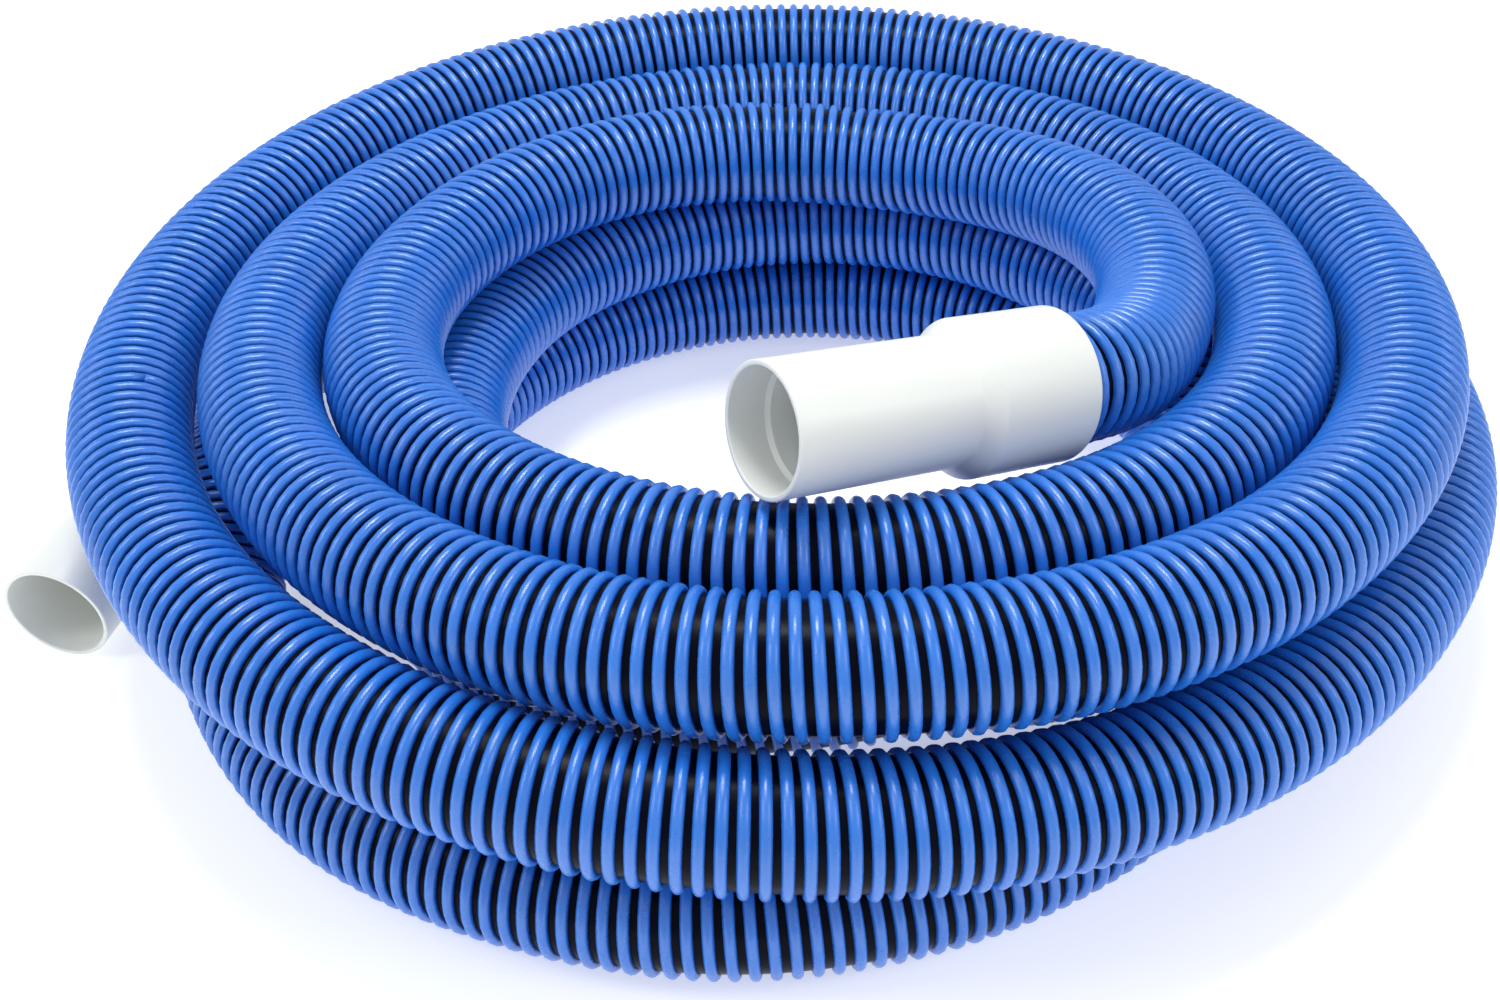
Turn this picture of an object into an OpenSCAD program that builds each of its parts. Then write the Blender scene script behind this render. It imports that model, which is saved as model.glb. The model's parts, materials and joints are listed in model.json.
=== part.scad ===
/* [Hose] */
// Outer diameter over the helical bead
hose_od = 46; // [38:0.5:56]
// Bore of the hose wall
hose_id = 38; // [30:0.5:44]
/* [Coil] */
// Radius of the centre line in lane 0
core_r = 145; // [130:1:190]
// Free gap between neighbouring turns
turn_gap = 1; // [0.8:0.1:4]
/* [Cuffs] */
// Outer diameter of the nose
nose_od = 44.5; // [42:0.5:54]
// Bore of the nose, which grips a fitting
cuff_bore = 38; // [30:0.5:40]
// Length of the nose
nose_len = 70; // [50:1:100]
// Length of the cone between nose and collar
cone_len = 6; // [4:1:14]
// Length of the swivel cuff's collar
collar_len = 40; // [34:1:60]
// Radial wall of the swivel cuff's collar
collar_wall = 1.6; // [1.4:0.1:3]
// Length of the fixed cuff's collar
fixed_collar_len = 60; // [30:1:80]
// Radial wall of the fixed cuff's collar
fixed_wall = 2.5; // [1.6:0.1:4]
// Depth of the wider entry at the swivel cuff's mouth
entry_depth = 14; // [6:1:24]
// Depth of the wider entry at the fixed cuff's mouth
fixed_entry_depth = 44; // [6:1:48]
// Width of the 45 degree ledge where the entry ends
entry_step = 1.4; // [0.6:0.1:2]
// Chamfer at the mouth and at the gripping bore's inner end
mouth_chamfer = 0.6; // [0.2:0.1:0.8]
// Thickness of the wall that the hose end stops against
end_wall = 3; // [2:0.5:6]
/* [Swivel] */
// Radial wall of the ferrule that is screwed on the hose
ferrule_wall = 1.2; // [1:0.1:2]
// Length of the ferrule, flange included
ferrule_len = 32; // [24:1:36]
// Radial lip of the ferrule's flange
flange_lip = 1; // [0.8:0.1:2]
// Length of the flange along the axis
flange_len = 5; // [4:0.5:8]
// Length of the retaining ring along the axis
ring_len = 4; // [3:0.5:6]
// Section diameter of the O-ring
seal_d = 2; // [1.5:0.1:2.5]
// Radial running clearance of the swivel
swivel_gap = 0.06; // [0.02:0.01:0.1]
// Axial play of the swivel
axial_gap = 0.1; // [0.05:0.05:0.3]

/* [Hidden] */
$fn = 96;
cut = 1;
fit_gap = 0.1;
hose_r = hose_od / 2;
bore_r = hose_id / 2;
pitch = hose_od + turn_gap;

// Centre of the coil's lanes, which puts the origin at the middle of the whole footprint.
coil_x = 15;
coil_y = -3.5;

// The laid route, as [turn, lane, layer]. A turn is counted counter-clockwise from +X,
// lane 0 runs at core_r and layer 0 lies on the floor, and both grow by one hose pitch.
LEAD = [[-0.141, -0.07, 2.54], [-0.124, -0.04, 2.465], [-0.1, -0.02, 2.33], [-0.07, -0.02, 2.18],
        [-0.04, 0, 2.11], [-0.01, 0.04, 2.1], [0.02, 0.05, 2.09], [0.06, 0.03, 2.06],
        [0.1, -0.01, 2], [0.14, -0.07, 1.94], [0.19, -0.13, 1.89]];
TOP = [[0.25, -0.15, 1.92], [0.375, 0, 1.96], [0.5, 0.27, 1.9], [0.625, 0.47, 1.98],
       [0.75, 0.66, 2], [0.8125, 0.78, 1.98], [0.875, 0.89, 1.94], [1, 1.025, 1.87],
       [1.25, 1.08, 1.83], [1.5, 1.29, 1.86], [1.75, 1.67, 2], [1.875, 1.89, 1.92], [2, 2.04, 1.88],
       [2.25, 2.23, 2.03], [2.375, 2.33, 1.93], [2.5, 2.4, 1.71], [2.625, 2.4, 1.51],
       [2.75, 2.2, 1.12], [2.875, 2.27, 0.9], [3, 2.5, 0.87]];
OUTER = [[3.125, 2.56, 0.9], [3.25, 2.35, 1], [3.375, 1.93, 1], [3.5, 1.82, 0.72],
         [3.5625, 1.98, 0.35], [3.625, 2.13, 0.06], [3.6875, 2.05, 0.02], [3.75, 1.93, 0],
         [3.875, 1.43, 0]];
INNER = [[4, 0.93, 0], [4.125, 0.58, 0], [4.25, 0.38, 0], [4.375, 0.32, 0], [4.5, 0.38, 0],
         [4.5625, 0.42, 0], [4.625, 0.27, 0.01],
         [4.75, -0.15, 0.04], [4.875, 0.08, 0.4], [5, 0.46, 0.96], [5.125, 0.37, 1],
         [5.25, 0.24, 0.99], [5.375, 0.03, 0.97], [5.5, -0.12, 0.93], [5.625, 0.04, 1.01],
         [5.75, 0.45, 1.01], [5.875, 1.2, 0.99]];
TAIL = [[6, 1.5, 0.98], [6.125, 1.55, 0.75], [6.25, 1.6, 0.3], [6.3125, 1.85, 0.05],
        [6.375, 2.25, 0.01], [6.42, 2.44, 0.02]];
ENTRY = [6.471, 2.64];

// Swivel cuff at the lead end, pointing out of its mouth.
lead_azimuth = 211.2;
lead_rise = 11.2;
// Fixed cuff at the tail end, lying on the floor on its collar and its mouth.
tail_azimuth = 257.5;

// Cuff sections, measured along each cuff's axis from the collar's open back.
nose_r = nose_od / 2;
grip_r = cuff_bore / 2;
entry_r = grip_r + entry_step;
ferrule_bore_r = hose_r + fit_gap;
ferrule_r = ferrule_bore_r + ferrule_wall;
flange_r = ferrule_r + flange_lip;
cavity_r = flange_r + swivel_gap;
collar_r = cavity_r + collar_wall;
fixed_bore_r = hose_r + fit_gap;
fixed_r = fixed_bore_r + fixed_wall;
fixed_len = fixed_collar_len + cone_len + nose_len;
cavity_len = collar_len - end_wall;
flange_front = cavity_len - axial_gap;
flange_back = flange_front - flange_len;
hose_seat = flange_back;
ring_front = flange_back - axial_gap;
seal_mid_r = hose_r + fit_gap + ferrule_wall / 4;
seal_z = cavity_len - axial_gap / 2 - seal_d / 2;
groove_gap = 0.05;
flange_bore_r = bore_r - 0.5;
fixed_seat = fixed_collar_len - end_wall;
tail_tilt = asin((fixed_r - nose_r) / (nose_len + cone_len));

// Places on the laid route.
function place(t, lane, layer) =
    let (r = core_r + lane * pitch)
    [coil_x + r * cos(360 * t), coil_y + r * sin(360 * t), hose_r + layer * pitch];
function heading(az, rise) = [cos(rise) * cos(az), cos(rise) * sin(az), sin(rise)];

lead_dir = heading(lead_azimuth, lead_rise);
lead_back = place(LEAD[0][0], LEAD[0][1], LEAD[0][2]);
tail_dir = heading(tail_azimuth, -tail_tilt);
tail_xy = place(ENTRY[0], ENTRY[1], 0);
tail_z = nose_r * cos(tail_tilt) + fixed_len * sin(tail_tilt);
tail_back = [tail_xy[0], tail_xy[1], tail_z];
KNOTS = concat(LEAD, TOP, OUTER, INNER, TAIL, [[ENTRY[0], ENTRY[1], (tail_z - hose_r) / pitch]]);

// Smooth interpolation between knots, with each knot's slope taken across its neighbours.
last = len(KNOTS) - 1;
function span(t, i = 0) = i >= last - 1 || KNOTS[i + 1][0] > t ? i : span(t, i + 1);
function slope(i) =
    let (a = KNOTS[max(i - 1, 0)], b = KNOTS[min(i + 1, last)])
    (b - a) / (b[0] - a[0]);
function laid(t) =
    let (i = span(t), a = KNOTS[i], b = KNOTS[i + 1], h = b[0] - a[0], s = (t - a[0]) / h,
         k = a * (1 + 2 * s) * (1 - s) * (1 - s) + slope(i) * h * s * (1 - s) * (1 - s)
             + b * s * s * (3 - 2 * s) - slope(i + 1) * h * s * s * (1 - s))
    place(t, k[1], k[2]);
function unit(v) = v / norm(v);
function along(t) = unit(laid(t + 0.002) - laid(t - 0.002));

// One ring of points about a centre, square to the hose's direction.
sides = 12;
rings_per_turn = 24;
function ring(centre, dir, r) =
    let (side = unit(cross(dir, [0, 0, 1])), up = cross(side, dir))
    [for (k = [0:sides - 1])
        centre + r * (cos(360 * k / sides) * side + sin(360 * k / sides) * up)];

// Closed tube through rings given as [centre, direction], with the hose's bore along it.
module tube(rings) {
    n = len(rings);
    outer = [for (s = rings) each ring(s[0], s[1], hose_r)];
    inner = [for (s = rings) each ring(s[0], s[1], bore_r)];
    shift = n * sides;
    walls = [for (j = [0:n - 2], k = [0:sides - 1])
        let (a = j * sides + k, b = j * sides + (k + 1) % sides)
        each [[a, b, b + sides], [a, b + sides, a + sides],
              [shift + a, shift + b + sides, shift + b],
              [shift + a, shift + a + sides, shift + b + sides]]];
    top = (n - 1) * sides;
    ends = [for (k = [0:sides - 1])
        let (m = (k + 1) % sides)
        each [[k, shift + k, shift + m], [k, shift + m, m],
              [top + k, top + m, shift + top + m], [top + k, shift + top + m, shift + top + k]]];
    polyhedron(points = concat(outer, inner), faces = concat(walls, ends), convexity = 10);
}

// Stations on the route from one turn count to another, both ends included.
function stations(from, to) =
    let (n = ceil((to - from) * rings_per_turn - 0.01))
    [for (j = [0:n]) let (t = from + (to - from) * j / n) [laid(t), along(t)]];

// The lead runs to a quarter turn, then come six nodes of one turn each, then the tail.
lead_end = 0.25;
full_turns = 6;
tail_end = TAIL[len(TAIL) - 1][0];

module hose_lead() {
    color("royalblue")
        tube(concat([[lead_back + lead_dir * hose_seat, -lead_dir], [lead_back, -lead_dir]],
                    stations(LEAD[1][0], lead_end)));
}

module hose_turn(count) {
    color("royalblue")
        tube(stations(lead_end + count - 1, lead_end + count));
}

module hose_tail() {
    color("royalblue")
        tube(concat(stations(lead_end + full_turns, tail_end),
                    [[tail_back, tail_dir], [tail_back + tail_dir * fixed_seat, tail_dir]]));
}

// Put a cuff that is modelled along +Z on its hose end.
module on_lead() {
    translate(lead_back) rotate([0, 90 - lead_rise, lead_azimuth]) children();
}

module on_tail() {
    translate(tail_back) rotate([0, 90 + tail_tilt, tail_azimuth]) children();
}

// Ring section from one height to another.
module sleeve(z0, z1, r_in, r_out) {
    rotate_extrude() translate([r_in, z0]) square([r_out - r_in, z1 - z0]);
}

// Cuff with its nose, cone and collar, and inside them the hollow for the hose, the bore
// that grips a fitting and the wider entry at the mouth.
module cuff_shell(back_r, collar, hollow_r, entry) {
    total = collar + cone_len + nose_len;
    hollow = collar - end_wall;
    rotate_extrude()
        polygon([[hollow_r, 0], [back_r, 0], [back_r, collar], [nose_r, collar + cone_len],
                 [nose_r, total], [entry_r + mouth_chamfer, total],
                 [entry_r, total - mouth_chamfer], [entry_r, total - entry],
                 [grip_r, total - entry - entry_step], [grip_r, hollow + mouth_chamfer],
                 [grip_r + mouth_chamfer, hollow], [hollow_r, hollow]]);
}

module swivel_cuff() {
    color("whitesmoke")
        on_lead() cuff_shell(collar_r, collar_len, cavity_r, entry_depth);
}

module retaining_ring() {
    color("gainsboro")
        on_lead() sleeve(ring_front - ring_len, ring_front, ferrule_r + swivel_gap, cavity_r);
}

module hose_ferrule() {
    groove_r = seal_d / 2 + groove_gap;
    color("gainsboro")
        on_lead() difference() {
            union() {
                sleeve(flange_front - ferrule_len, flange_back, ferrule_bore_r, ferrule_r);
                sleeve(flange_back, flange_front, flange_bore_r, flange_r);
            }
            sleeve(seal_z - groove_r, flange_front + cut, seal_mid_r - groove_r, seal_mid_r + groove_r);
        }
}

module swivel_o_ring() {
    color("dimgray")
        on_lead() translate([0, 0, seal_z]) rotate_extrude()
            translate([seal_mid_r, 0]) circle(d = seal_d, $fn = 32);
}

module fixed_cuff() {
    color("whitesmoke")
        on_tail() cuff_shell(fixed_r, fixed_collar_len, fixed_bore_r, fixed_entry_depth);
}

hose_lead();
hose_turn(1);  // hose_turn_1
hose_turn(2);  // hose_turn_2
hose_turn(3);  // hose_turn_3
hose_turn(4);  // hose_turn_4
hose_turn(5);  // hose_turn_5
hose_turn(6);  // hose_turn_6
hose_tail();
swivel_cuff();
retaining_ring();
hose_ferrule();
swivel_o_ring();
fixed_cuff();
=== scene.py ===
"""A coiled, spiral-wound pool vacuum hose with a swivel cuff and a fixed cuff."""

import json
import math

import bpy
import numpy as np
from bpy.props import FloatProperty, FloatVectorProperty, IntProperty, PointerProperty
from mathutils import Matrix, Vector


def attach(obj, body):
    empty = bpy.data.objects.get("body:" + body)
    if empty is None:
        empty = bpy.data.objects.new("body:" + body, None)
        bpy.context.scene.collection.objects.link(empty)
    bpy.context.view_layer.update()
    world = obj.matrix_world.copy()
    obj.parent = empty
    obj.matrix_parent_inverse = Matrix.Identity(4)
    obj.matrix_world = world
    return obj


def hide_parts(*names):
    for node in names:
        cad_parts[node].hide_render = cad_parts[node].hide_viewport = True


bl_info = {
    "name": "Pool Vacuum Hose",
    "version": (1, 0, 0),
    "blender": (4, 5, 0),
    "location": "View3D > Sidebar > Pool Hose",
    "description": "Lays a spiral-wound pool vacuum hose in a coil and fits its two cuffs",
    "category": "Add Mesh",
}

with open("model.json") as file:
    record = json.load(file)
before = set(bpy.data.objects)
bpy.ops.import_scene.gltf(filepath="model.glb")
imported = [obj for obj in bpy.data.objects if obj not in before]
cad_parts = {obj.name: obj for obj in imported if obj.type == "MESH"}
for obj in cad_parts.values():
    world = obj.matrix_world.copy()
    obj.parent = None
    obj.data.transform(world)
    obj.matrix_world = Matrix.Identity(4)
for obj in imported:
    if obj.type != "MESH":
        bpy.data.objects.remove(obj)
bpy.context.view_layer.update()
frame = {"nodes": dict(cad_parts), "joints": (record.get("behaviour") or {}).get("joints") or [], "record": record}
MOUNTS = {m["name"]: m for m in frame["record"]["mounts"]}
SWIVEL = frame["joints"][0]

# The laid route, as (turn, lane, layer). Turns are counted counter-clockwise from +X,
# lane 0 runs at CORE_R and layer 0 lies on the floor, and both grow by one PITCH (metres).
CORE_R, PITCH, HOSE_R = 0.145, 0.047, 0.023
COIL_CENTRE = (0.015, -0.0035)
LEAD = [
    (-0.141, -0.07, 2.54), (-0.124, -0.04, 2.465), (-0.1, -0.02, 2.33), (-0.07, -0.02, 2.18),
    (-0.04, 0.0, 2.11), (-0.01, 0.04, 2.1), (0.02, 0.05, 2.09), (0.06, 0.03, 2.06),
    (0.1, -0.01, 2.0), (0.14, -0.07, 1.94), (0.19, -0.13, 1.89),
]
TOP = [
    (0.25, -0.15, 1.92), (0.375, 0.0, 1.96), (0.5, 0.27, 1.9), (0.625, 0.47, 1.98),
    (0.75, 0.66, 2.0), (0.8125, 0.78, 1.98), (0.875, 0.89, 1.94), (1.0, 1.025, 1.87),
    (1.25, 1.08, 1.83), (1.5, 1.29, 1.86), (1.75, 1.67, 2.0), (1.875, 1.89, 1.92),
    (2.0, 2.04, 1.88), (2.25, 2.23, 2.03), (2.375, 2.33, 1.93), (2.5, 2.4, 1.71),
    (2.625, 2.4, 1.51), (2.75, 2.2, 1.12), (2.875, 2.27, 0.9), (3.0, 2.5, 0.87),
]
OUTER = [
    (3.125, 2.56, 0.9), (3.25, 2.35, 1.0), (3.375, 1.93, 1.0), (3.5, 1.82, 0.72),
    (3.5625, 1.98, 0.35), (3.625, 2.13, 0.06), (3.6875, 2.05, 0.02), (3.75, 1.93, 0.0),
    (3.875, 1.43, 0.0),
]
INNER = [
    (4.0, 0.93, 0.0), (4.125, 0.58, 0.0), (4.25, 0.38, 0.0), (4.375, 0.32, 0.0),
    (4.5, 0.38, 0.0), (4.5625, 0.42, 0.0), (4.625, 0.27, 0.01), (4.75, -0.15, 0.04),
    (4.875, 0.08, 0.4), (5.0, 0.46, 0.96), (5.125, 0.37, 1.0), (5.25, 0.24, 0.99),
    (5.375, 0.03, 0.97), (5.5, -0.12, 0.93), (5.625, 0.04, 1.01), (5.75, 0.45, 1.01),
    (5.875, 1.2, 0.99),
]
TAIL = [
    (6.0, 1.5, 0.98), (6.125, 1.55, 0.75), (6.25, 1.6, 0.3), (6.3125, 1.85, 0.05),
    (6.375, 2.25, 0.01), (6.42, 2.44, 0.02), (6.471, 2.64, 0.111),
]

# Lengths along each cuff, from its collar's open back (metres).
SWIVEL_COLLAR, FIXED_COLLAR, CONE, NOSE = 0.040, 0.060, 0.006, 0.070
NOSE_R, GRIP_R, END_WALL, CHAMFER, ENTRY_STEP = 0.02225, 0.019, 0.003, 0.0006, 0.0014
SWIVEL_ENTRY, FIXED_ENTRY = 0.014, 0.044
SWIVEL_COLLAR_R, SWIVEL_HOLLOW_R = 0.02696, 0.02536
FIXED_COLLAR_R, FIXED_HOLLOW_R = 0.0256, 0.0231

# How far the hose is drawn into each cuff, and how deep a bead's back is sunk in the web.
HOSE_SEAT, SUNK = 0.026, 0.0006

# Bead profile: where its back corner is as a share of the half width, and a power that
# fills out its half round; and the way round the hose that one turn of the bead takes.
BACK_AT, FULLNESS, ROUND_HOSE = -0.8, 0.85, 0.144

# Camera: its place from the coil's centre on the floor, and its turn in radians.
EYE, PITCH_DOWN, YAW, ROLL = (-0.0005, -0.5999, 0.4607), 0.6415, -0.0263, -0.0282


# Sizes and colours a user would change

class HoseSettings(bpy.types.PropertyGroup):
    """Sizes and colours of the wound hose."""

    bead_pitch: FloatProperty(
        name="Bead Pitch", description="Distance along the hose from one bead to the next",
        default=0.0062, min=0.003, max=0.02, subtype="DISTANCE", unit="LENGTH")
    bead_width: FloatProperty(
        name="Bead Width", description="Width of the bead where it meets the web",
        default=0.0042, min=0.001, max=0.02, subtype="DISTANCE", unit="LENGTH")
    bead_height: FloatProperty(
        name="Bead Height", description="How far the bead stands above the web",
        default=0.0024, min=0.0005, max=0.01, subtype="DISTANCE", unit="LENGTH")
    web_wall: FloatProperty(
        name="Web Wall", description="Thickness of the web between the beads",
        default=0.0018, min=0.0005, max=0.004, subtype="DISTANCE", unit="LENGTH")
    bead_sides: IntProperty(
        name="Bead Segments", description="Segments of the bead in one turn round the hose",
        default=28, min=12, max=64)
    bead_colour: FloatVectorProperty(
        name="Bead Colour", description="Colour of the bead",
        default=(0.018, 0.175, 0.68), size=3, subtype="COLOR", min=0, max=1)
    web_colour: FloatVectorProperty(
        name="Web Colour", description="Colour of the web between the beads",
        default=(0.001, 0.0014, 0.007), size=3, subtype="COLOR", min=0, max=1)


class CuffSettings(bpy.types.PropertyGroup):
    """Sizes and colours of the moulded cuffs."""

    edge: FloatProperty(
        name="Edge Radius", description="Radius of the moulded outer edges",
        default=0.0009, min=0.0002, max=0.003, subtype="DISTANCE", unit="LENGTH")
    rounds: IntProperty(
        name="Segments Around", description="Segments round each cuff",
        default=144, min=24, max=256)
    colour: FloatVectorProperty(
        name="Cuff Colour", description="Colour of the moulded cuffs",
        default=(0.80, 0.825, 0.795), size=3, subtype="COLOR", min=0, max=1)
    ferrule_colour: FloatVectorProperty(
        name="Ferrule Colour", description="Colour of the pieces inside the swivel",
        default=(0.62, 0.64, 0.62), size=3, subtype="COLOR", min=0, max=1)


class StageSettings(bpy.types.PropertyGroup):
    """Floor, light and camera."""

    floor_colour: FloatVectorProperty(
        name="Floor Colour", description="Colour of the floor",
        default=(0.93, 0.935, 0.94), size=3, subtype="COLOR", min=0, max=1)
    sky: FloatProperty(
        name="Sky", description="Strength of the even light from all round",
        default=0.62, min=0, max=5)
    glow: FloatProperty(
        name="Floor Glow", description="Light that the floor gives of itself, as a lit table does",
        default=0.46, min=0, max=5)
    lens: FloatProperty(
        name="Lens", description="Focal length of the camera, in millimetres",
        default=40.8, min=10, max=200)


# Shader maths

class Wire:
    """A shader socket that is used like a number: each operator on it adds one Math node."""

    def __init__(self, tree, socket=None):
        self.tree, self.socket = tree, socket

    def node(self, kind, values=None, out=0, stops=None, **settings):
        """Add one node, its settings first, then its sockets' values or links; give one output."""
        made = self.tree.nodes.new(kind)
        for name, value in settings.items():
            setattr(made, name, value)
        if stops:
            ramp = made.color_ramp
            while len(ramp.elements) < len(stops):
                ramp.elements.new(1.0)
            for element, (place, level) in zip(ramp.elements, stops):
                element.position, element.color = place, (level, level, level, 1)
        for name, value in (values or {}).items():
            if isinstance(value, Wire):
                self.tree.links.new(value.socket, made.inputs[name])
            else:
                made.inputs[name].default_value = value
        return Wire(self.tree, made.outputs[out])

    def maths(self, operation, first, second):
        return self.node("ShaderNodeMath", {0: first, 1: second}, operation=operation)

    def __add__(self, other):
        return self.maths("ADD", self, other)

    def __mul__(self, other):
        return self.maths("MULTIPLY", self, other)

    __radd__, __rmul__ = __add__, __mul__

    def noise(self, at, scale, detail=3.0, rough=0.55):
        return self.node("ShaderNodeTexNoise", {"Vector": at, "Scale": scale, "Detail": detail,
                                                "Roughness": rough}, noise_dimensions="3D")

    def ramp(self, low, high):
        """0 below low, 1 above high and a straight line between them."""
        return self.node("ShaderNodeValToRGB", {0: self}, stops=[(low, 0.0), (high, 1.0)])

    def mix(self, first, second):
        """Two colours mixed, each a colour or a Wire: 0 gives the first and 1 the second."""
        return self.node("ShaderNodeMix", {0: self, 6: first, 7: second}, 2, data_type="RGBA")


def finish(name, colour, **constants):
    """A Principled material with its constant sockets set; gives it, its shader and a Wire."""
    material = bpy.data.materials.new(name)
    material.use_nodes = True
    tree = material.node_tree
    shader = next(n for n in tree.nodes if n.type == "BSDF_PRINCIPLED")
    shader.inputs["Base Color"].default_value = (*colour, 1)
    for socket, value in constants.items():
        shader.inputs[socket.replace("_", " ")].default_value = value
    material.diffuse_color = (*colour, 1)
    return material, shader, Wire(tree)


def feed(shader, wire, **links):
    """Link wires to the shader's sockets."""
    for socket, source in links.items():
        wire.tree.links.new(source.socket, shader.inputs[socket.replace("_", " ")])


def shade(colour, gain):
    return (*(min(1.0, c * gain) for c in colour), 1)


def bead_vinyl(colour):
    """Glossy blue vinyl: cloudy pigment, fine draw lines along the bead, handling haze."""
    material, shader, wire = finish("bead_vinyl", colour, Specular_IOR_Level=0.8, IOR=1.5)
    at = wire.node("ShaderNodeTexCoord", out="Object")
    along = wire.node("ShaderNodeUVMap", uv_map="wound")
    cloud = wire.noise(at, 26, 4)
    haze = wire.noise(at, 75, 5, 0.65).ramp(0.42, 0.68)
    drawn = along.node("ShaderNodeMapping", {"Vector": along, "Scale": (60, 900, 1)})
    lines = wire.noise(drawn, 1, 2)
    grain = wire.noise(at, 900, 2)
    cloudy = cloud.mix(shade(colour, 0.86), shade(colour, 1.16))
    handled = (haze * 0.06).mix(cloudy, (0.30, 0.45, 0.80, 1))
    bump = wire.node("ShaderNodeBump", {"Strength": 0.16, "Distance": 0.0003,
                                        "Height": lines * 0.6 + grain * 0.4})
    feed(shader, wire, Base_Color=handled, Roughness=0.2 + haze * 0.1 + lines * 0.06, Normal=bump)
    return material


def web_vinyl(colour):
    """Black vinyl film with soft creases and a little dust."""
    material, shader, wire = finish("web_vinyl", colour, Specular_IOR_Level=0.06, IOR=1.5)
    at = wire.node("ShaderNodeTexCoord", out="Object")
    crease = wire.noise(at, 180, 4, 0.6)
    dust = wire.noise(at, 60, 5, 0.7).ramp(0.5, 0.75)
    tint = (dust * 0.06).mix((*colour, 1), (0.04, 0.05, 0.09, 1))
    bump = wire.node("ShaderNodeBump", {"Strength": 0.3, "Distance": 0.0004, "Height": crease})
    feed(shader, wire, Base_Color=tint, Roughness=0.30 + dust * 0.2, Normal=bump)
    return material


def cuff_plastic(name, colour, roughness):
    """Moulded satin plastic: faint flow clouds, fine mould grain, scuffs and handling marks."""
    material, shader, wire = finish(name, colour, Specular_IOR_Level=0.45, IOR=1.47)
    at = wire.node("ShaderNodeTexCoord", out="Object")
    flow = wire.noise(at, 22, 3)
    stretched = at.node("ShaderNodeMapping", {"Vector": at, "Scale": (1, 1, 5)})
    scuff = wire.noise(stretched, 95, 6, 0.7).ramp(0.56, 0.74)
    grain = wire.noise(at, 1400, 2)
    flowing = flow.mix(shade(colour, 0.965), shade(colour, 1.03))
    worn = (scuff * 0.10).mix(flowing, shade(colour, 0.86))
    bump = wire.node("ShaderNodeBump", {"Strength": 0.12, "Distance": 0.0003,
                                        "Height": grain * 0.7 + scuff * 0.3})
    feed(shader, wire, Base_Color=worn, Roughness=roughness + flow * 0.06 + scuff * 0.15,
         Normal=bump)
    return material


def seal_rubber():
    """Matt black rubber with a fine grain and a trace of grease."""
    material, shader, wire = finish("seal_rubber", (0.02, 0.02, 0.02), Specular_IOR_Level=0.4)
    at = wire.node("ShaderNodeTexCoord", out="Object")
    grease = wire.noise(at, 260, 3)
    bump = wire.node("ShaderNodeBump", {"Strength": 0.2, "Distance": 0.0002,
                                        "Height": wire.noise(at, 1800, 2)})
    feed(shader, wire, Roughness=0.45 + grease * 0.3, Normal=bump)
    return material


def floor_paper(colour, glow):
    """Matt white table, lit from below, with a faint tooth."""
    material, shader, wire = finish("floor_paper", colour, Specular_IOR_Level=0.1,
                                    Emission_Color=(1, 1, 1, 1), Emission_Strength=glow)
    at = wire.node("ShaderNodeTexCoord", out="Object")
    tooth = wire.noise(at, 400, 2)
    feed(shader, wire, Roughness=0.75 + tooth * 0.1)
    return material


# Surfaces

def unit(vectors):
    return vectors / np.linalg.norm(vectors, axis=-1, keepdims=True)


def lengths(line):
    """Length along the line from its first point to each of its points."""
    return np.concatenate([[0], np.cumsum(np.linalg.norm(np.diff(line, axis=0), axis=1))])


def laid_route(step=0.0015):
    """Centre line of the laid hose, spaced evenly by arc length (metres).

    Lane and layer are a piecewise cubic of the turn: through each knot, with the slope
    across its two neighbours. x = r cos(2 pi turn), y = r sin(2 pi turn), r = CORE_R +
    lane x PITCH, z = HOSE_R + layer x PITCH. Straight ends run into both cuffs.
    """
    knots = np.array(LEAD + TOP + OUTER + INNER + TAIL)
    turn = np.linspace(knots[0, 0], knots[-1, 0], 12001)
    i = np.clip(np.searchsorted(knots[:, 0], turn, side="right") - 1, 0, len(knots) - 2)
    order = np.arange(len(knots))
    before, after = knots[np.maximum(order - 1, 0)], knots[np.minimum(order + 1, len(knots) - 1)]
    slope = (after - before) / (after - before)[:, :1]
    a, b = knots[i], knots[i + 1]
    h = b[:, :1] - a[:, :1]
    s = (turn[:, None] - a[:, :1]) / h
    k = (a * (1 + 2 * s) * (1 - s) ** 2 + slope[i] * h * s * (1 - s) ** 2
         + b * s * s * (3 - 2 * s) - slope[i + 1] * h * s * s * (1 - s))
    r, angle = CORE_R + k[:, 1] * PITCH, 2 * np.pi * turn
    line = np.stack([COIL_CENTRE[0] + r * np.cos(angle), COIL_CENTRE[1] + r * np.sin(angle),
                     HOSE_R + k[:, 2] * PITCH], -1)
    lead_axis, tail_axis = np.array(SWIVEL["axis"]), np.array(MOUNTS["fixed_bore"]["axis"])
    inside = np.linspace(0.001, HOSE_SEAT, 26)[:, None]
    line = np.concatenate([line[0] + lead_axis * inside[::-1], line, line[-1] + tail_axis * inside])
    for _ in range(3):
        line[1:-1] = 0.25 * line[:-2] + 0.5 * line[1:-1] + 0.25 * line[2:]
    run = lengths(line)
    even = np.linspace(0, run[-1], int(run[-1] / step) + 1)
    return np.stack([np.interp(even, run, line[:, n]) for n in range(3)], -1)


def softened(line, width):
    """The line averaged over a window of stations, with its two ends held."""
    kernel = np.hanning(width + 2)[1:-1]
    kernel /= kernel.sum()
    half = width // 2
    padded = np.concatenate([2 * line[0] - line[half:0:-1], line,
                             2 * line[-1] - line[-2:-half - 2:-1]])
    return np.stack([np.convolve(padded[:, n], kernel, "valid") for n in range(3)], -1)


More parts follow.
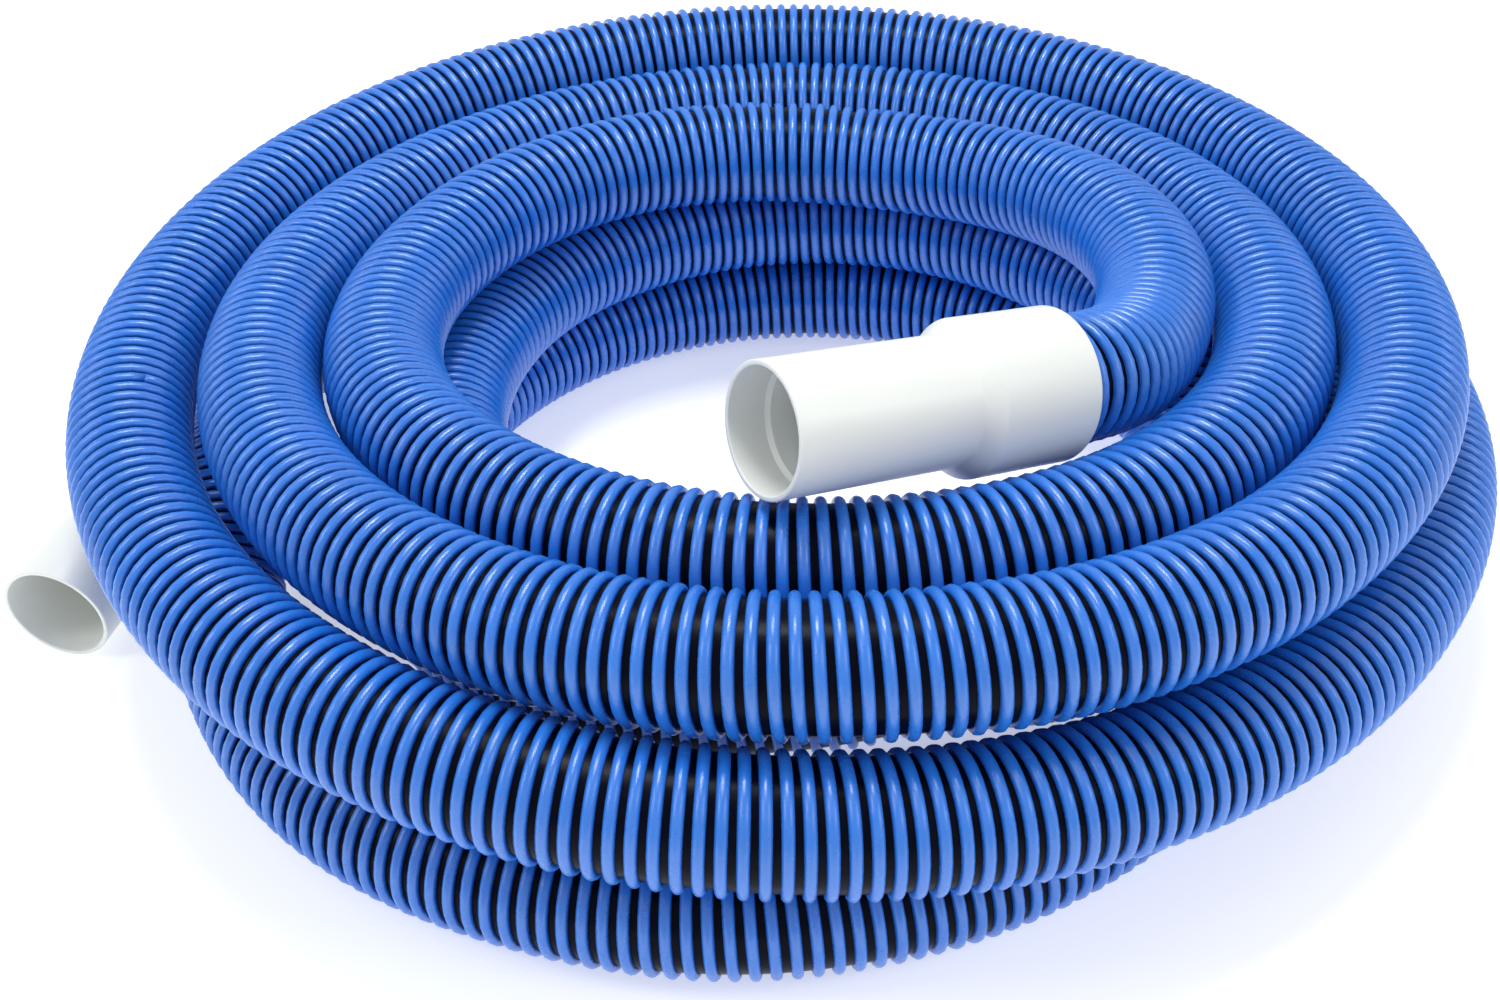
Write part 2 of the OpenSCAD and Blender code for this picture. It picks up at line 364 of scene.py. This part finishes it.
def frames(line):
    """Direction, level side and up of the line at each station: side = direction x Z."""
    ahead = unit(np.gradient(line, axis=0))
    side = unit(np.cross(ahead, [0.0, 0.0, 1.0]))
    return ahead, side, np.cross(side, ahead)


def grid_faces(rows, columns, wrap_rows=False):
    """Quads of a rows x columns grid whose columns close on themselves."""
    r = np.arange(rows if wrap_rows else rows - 1)[:, None]
    c = np.arange(columns)[None, :]
    up, right = (r + 1) % rows, (c + 1) % columns
    quads = np.stack(np.broadcast_arrays(r * columns + c, r * columns + right,
                                         up * columns + right, up * columns + c), -1)
    return quads.reshape(-1, 4)


def surface(name, points, quads, material, uv=None):
    """A smooth mesh piece from whole arrays of points, quads and corner coordinates."""
    mesh = bpy.data.meshes.new(name)
    mesh.vertices.add(len(points))
    mesh.vertices.foreach_set("co", np.asarray(points, np.float32).ravel())
    mesh.loops.add(quads.size)
    mesh.loops.foreach_set("vertex_index", quads.astype(np.int32).ravel())
    mesh.polygons.add(len(quads))
    mesh.polygons.foreach_set("loop_start", np.arange(0, quads.size, 4, dtype=np.int32))
    mesh.polygons.foreach_set("use_smooth", np.ones(len(quads), bool))
    mesh.update(calc_edges=True)
    if uv is not None:
        mesh.uv_layers.new(name="wound").data.foreach_set("uv", uv.astype(np.float32).ravel())
    mesh.validate()
    mesh.materials.append(material)
    piece = bpy.data.objects.new(name, mesh)
    bpy.context.scene.collection.objects.link(piece)
    return piece


def web_tube(line, outer, inner, every, sides=32):
    """The web: a closed tube with its bore.

    Ring k at station s: line(s) + r (cos a side + sin a up), on the outer radius going
    out and on the inner radius coming back, so that rows close end to end.
    """
    _, side, up = frames(line)
    pick = np.unique(np.append(np.arange(0, len(line), every), len(line) - 1))
    a = np.linspace(0, 2 * np.pi, sides, endpoint=False)
    spoke = (np.cos(a)[None, :, None] * side[pick][:, None]
             + np.sin(a)[None, :, None] * up[pick][:, None])
    wall = [line[pick][:, None] + r * spoke for r in (outer, inner)]
    points = np.concatenate([wall[0], wall[1][::-1]]).reshape(-1, 3)
    return points, grid_faces(2 * len(pick), sides, wrap_rows=True)[:, ::-1], line[pick]


def bead_strip(line, run, start, end, settings, foot):
    """One length of the bead: a half-round profile carried along a helix on the hose.

    At phase p the hose's station is s = p pitch / 2 pi, the helix is line(s) + foot x
    spoke(p), and the profile adds (half width) cos b along the hose and (height) sin b
    along the spoke, closed by a flat back sunk in the web.
    """
    sides = settings.bead_sides
    phase = 2 * np.pi * np.arange(round(start * sides), round(end * sides) + 1) / sides
    station = phase * settings.bead_pitch / (2 * np.pi)
    ahead, side, up = frames(line)

    def at(field):
        return np.stack([np.interp(station, run, field[:, n]) for n in range(3)], -1)

    centre, ahead, side, up = at(line), unit(at(ahead)), unit(at(side)), unit(at(up))
    spoke = np.cos(phase)[:, None] * side - np.sin(phase)[:, None] * up
    b = np.linspace(0, np.pi, 7)
    across = np.append(np.cos(b), BACK_AT) * settings.bead_width / 2
    rise = np.append(np.sin(b) ** FULLNESS * (HOSE_R - foot), -SUNK)
    points = (centre[:, None] + across[None, :, None] * ahead[:, None]
              + (foot + rise)[None, :, None] * spoke[:, None])
    rows, columns = len(phase), len(across)
    quads = grid_faces(rows, columns)
    first, last = np.arange(columns), (rows - 1) * columns + np.arange(columns)
    caps = np.array([[ring[0], ring[j + 1], ring[j + 2], ring[j + 3]] if way > 0 else
                     [ring[j + 3], ring[j + 2], ring[j + 1], ring[0]]
                     for ring, way in ((first, -1), (last, 1)) for j in (0, 2, 4)])
    quads = np.concatenate([quads, caps])
    row, column = quads // columns, quads % columns
    wraps = (column.max(1) == columns - 1)[:, None] & (column == 0)
    uv = np.stack([row / sides * ROUND_HOSE, np.where(wraps, columns, column) / columns], -1)
    return points.reshape(-1, 3), quads, uv


def rounded_profile(corners, edge, steps=4):
    """A closed (radius, height) outline with each listed corner rounded by an arc.

    corners are (radius, height, rounding share); the arc touches both sides at the
    distance share x edge / tan(half the corner's angle) from the corner.
    """
    found = []
    for n, (r, z, share) in enumerate(corners):
        here = np.array([r, z])
        to = [unit(np.array(corners[(n + d) % len(corners)][:2]) - here) for d in (-1, 1)]
        if share == 0:
            found.append(here)
            continue
        half = math.acos(float(np.clip(to[0] @ to[1], -1, 1))) / 2
        radius = share * edge
        middle = here + unit(to[0] + to[1]) * radius / math.sin(half)
        reach = radius / math.tan(half)
        first, last = here + to[0] * reach - middle, here + to[1] * reach - middle
        share_of = np.linspace(0, 1, steps + 1)[:, None]
        arc = unit(first * (1 - share_of) + last * share_of) * radius
        found.extend(middle + arc)
    return np.array(found)


def turned(profile, back, axis, rounds):
    """A closed outline turned about an axis: point = back + axis z + r (cos a, sin a) spoke."""
    axis = unit(np.array(axis))
    side = unit(np.cross(axis, [0.0, 0.0, 1.0]))
    up = np.cross(side, axis)
    a = np.linspace(0, 2 * np.pi, rounds, endpoint=False)
    spoke = np.cos(a)[:, None] * side + np.sin(a)[:, None] * up
    points = (np.array(back) + profile[None, :, 1, None] * axis
              + profile[None, :, 0, None] * spoke[:, None])
    return points.reshape(-1, 3), grid_faces(rounds, len(profile), wrap_rows=True)


def cuff_outline(collar_r, collar, hollow_r, entry, edge):
    """Outline of a cuff: collar, cone and nose outside; hollow, gripping bore and entry inside."""
    total, hollow, entry_r = collar + CONE + NOSE, collar - END_WALL, GRIP_R + ENTRY_STEP
    return rounded_profile([
        (hollow_r, 0.0, 0.5), (collar_r, 0.0, 0.7), (collar_r, collar, 0.7),
        (NOSE_R, collar + CONE, 0.7), (NOSE_R, total, 0.6), (entry_r, total, 0.6),
        (entry_r, total - entry, 0.2), (GRIP_R, total - entry - ENTRY_STEP, 0.4),
        (GRIP_R, hollow + CHAMFER, 0.3),
        (GRIP_R + CHAMFER, hollow, 0.3), (hollow_r, hollow, 0.3)], edge)


# Stage and pieces

def aimed_camera():
    """The camera's matrix: from EYE, turned left by YAW, down by PITCH_DOWN and over by ROLL."""
    ahead = Vector((math.sin(YAW) * math.cos(PITCH_DOWN), math.cos(YAW) * math.cos(PITCH_DOWN),
                    -math.sin(PITCH_DOWN)))
    level = Vector((math.cos(YAW), -math.sin(YAW), 0))
    upright = level.cross(ahead)
    right = level * math.cos(ROLL) + upright * math.sin(ROLL)
    up = upright * math.cos(ROLL) - level * math.sin(ROLL)
    place = Vector((COIL_CENTRE[0] + EYE[0], COIL_CENTRE[1] + EYE[1], EYE[2]))
    return Matrix.Translation(place) @ Matrix((right, up, -ahead)).transposed().to_4x4()


def floor_grid(half=6, rows=25):
    """A square floor of that half width, as rows x rows points and the quads between them."""
    x, y = np.meshgrid(np.linspace(-half, half, rows), np.linspace(-half, half, rows))
    r, c = np.meshgrid(np.arange(rows - 1), np.arange(rows - 1), indexing="ij")
    quads = np.stack([r * rows + c, r * rows + c + 1, (r + 1) * rows + c + 1,
                      (r + 1) * rows + c], -1)
    return np.stack([x, y, np.zeros_like(x)], -1).reshape(-1, 3), quads.reshape(-1, 4)


class POOLHOSE_OT_stage(bpy.types.Operator):
    """Set the camera, the floor and the studio lights"""

    bl_idname = "poolhose.stage"
    bl_label = "Set the Stage"

    def execute(self, context):
        settings = context.scene.pool_stage
        data = bpy.data.cameras.new("view")
        data.lens, data.sensor_width = settings.lens, 36.0
        camera = bpy.data.objects.new("view", data)
        camera.matrix_world = aimed_camera()
        context.scene.collection.objects.link(camera)
        context.scene.camera = camera
        points, quads = floor_grid()
        surface("floor", points, quads,
                         floor_paper(settings.floor_colour, settings.glow))

        world = bpy.data.worlds.new("studio")
        world.use_nodes = True
        world.node_tree.nodes["Background"].inputs["Color"].default_value = (1, 1, 1, 1)
        world.node_tree.nodes["Background"].inputs["Strength"].default_value = settings.sky
        context.scene.world = world
        context.scene.view_settings.view_transform = "Standard"
        for name, place, size, power, aim in (
                ("overhead", (-0.1, 0.2, 1.6), 0.45, 14, (0, 0, 0)),
                ("left_key", (-1.4, -0.5, 1.3), 0.5, 6, (0, 0, 0.05)),
                ("right_fill", (1.4, -0.7, 1.1), 0.5, 4.5, (0, 0, 0.05))):
            lamp = bpy.data.lights.new(name, "AREA")
            lamp.size, lamp.energy = size, power
            held = bpy.data.objects.new(name, lamp)
            look = (Vector(aim) - Vector(place)).to_track_quat("-Z", "Y")
            held.matrix_world = Matrix.Translation(place) @ look.to_matrix().to_4x4()
            context.scene.collection.objects.link(held)
        return {"FINISHED"}


class POOLHOSE_OT_cuffs(bpy.types.Operator):
    """Turn the swivel cuff and the fixed cuff on their axes"""

    bl_idname = "poolhose.cuffs"
    bl_label = "Fit the Cuffs"

    def execute(self, context):
        settings = context.scene.pool_cuffs
        plastic = cuff_plastic("cuff_plastic", settings.colour, 0.34)
        fixed = MOUNTS["fixed_bore"]
        length = FIXED_COLLAR + CONE + NOSE
        reach = (FIXED_COLLAR - END_WALL + CHAMFER + length - FIXED_ENTRY - ENTRY_STEP) / 2
        fixed_back = np.array(fixed["pos_m"]) - np.array(fixed["axis"]) * reach
        for name, node, body, back, axis, outline in (
                ("swivel_cuff_shell", "swivel_cuff", "swivel", SWIVEL["pos_m"], SWIVEL["axis"],
                 cuff_outline(SWIVEL_COLLAR_R, SWIVEL_COLLAR, SWIVEL_HOLLOW_R, SWIVEL_ENTRY,
                              settings.edge)),
                ("fixed_cuff_shell", "fixed_cuff", "root", fixed_back, fixed["axis"],
                 cuff_outline(FIXED_COLLAR_R, FIXED_COLLAR, FIXED_HOLLOW_R, FIXED_ENTRY,
                              settings.edge))):
            points, quads = turned(outline, back, axis, settings.rounds)
            shell = surface(name, points, quads, plastic)
            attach(shell, body)
            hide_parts(node)
        inside = cuff_plastic("ferrule_plastic", settings.ferrule_colour, 0.42)
        rubber = seal_rubber()
        for node, material in (("hose_ferrule", inside), ("retaining_ring", inside),
                               ("swivel_o_ring", rubber)):
            frame["nodes"][node].data.materials.clear()
            frame["nodes"][node].data.materials.append(material)
        return {"FINISHED"}


class POOLHOSE_OT_hose(bpy.types.Operator):
    """Lay the black web and wind the blue bead on it"""

    bl_idname = "poolhose.hose"
    bl_label = "Lay the Hose"

    def execute(self, context):
        settings = context.scene.pool_hose
        line = softened(laid_route(), 21)
        run = lengths(line)
        foot = HOSE_R - settings.bead_height
        points, quads, path = web_tube(line, foot, foot - settings.web_wall, 4)
        web = surface("hose_web", points, quads, web_vinyl(settings.web_colour))
        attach(web, "root")
        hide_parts("hose_lead", "hose_tail", *(f"hose_turn_{n}" for n in range(1, 7)))
        vinyl = bead_vinyl(settings.bead_colour)
        first, last = 1.0, run[-1] / settings.bead_pitch - 1.0
        cuts = np.linspace(first, last, 6)
        for n, (start, end) in enumerate(zip(cuts[:-1], cuts[1:]), 1):
            points, quads, uv = bead_strip(line, run, start, end, settings, foot)
            bead = surface(f"hose_bead_{n}", points, quads, vinyl, uv)
            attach(bead, "root")
        return {"FINISHED"}


class POOLHOSE_PT_panel(bpy.types.Panel):
    """Lists the steps that make the hose"""

    bl_idname = "POOLHOSE_PT_panel"
    bl_label = "Pool Vacuum Hose"
    bl_space_type = "VIEW_3D"
    bl_region_type = "UI"
    bl_category = "Pool Hose"

    def draw(self, context):
        layout = self.layout
        for group in (context.scene.pool_hose, context.scene.pool_cuffs, context.scene.pool_stage):
            column = layout.column(align=True)
            for name in group.__annotations__:
                column.prop(group, name)
        for step in OPERATORS:
            layout.operator(step.bl_idname)


GROUPS = {"pool_hose": HoseSettings, "pool_cuffs": CuffSettings, "pool_stage": StageSettings}
OPERATORS = (POOLHOSE_OT_stage, POOLHOSE_OT_cuffs, POOLHOSE_OT_hose)
CLASSES = (*GROUPS.values(), *OPERATORS, POOLHOSE_PT_panel)


def register():
    for cls in CLASSES:
        bpy.utils.register_class(cls)
    for name, group in GROUPS.items():
        setattr(bpy.types.Scene, name, PointerProperty(type=group))


def unregister():
    for name in GROUPS:
        delattr(bpy.types.Scene, name)
    for cls in reversed(CLASSES):
        bpy.utils.unregister_class(cls)


def main():
    register()
    bpy.ops.poolhose.stage()
    bpy.ops.poolhose.cuffs()
    bpy.ops.poolhose.hose()


if __name__ == "__main__":
    main()
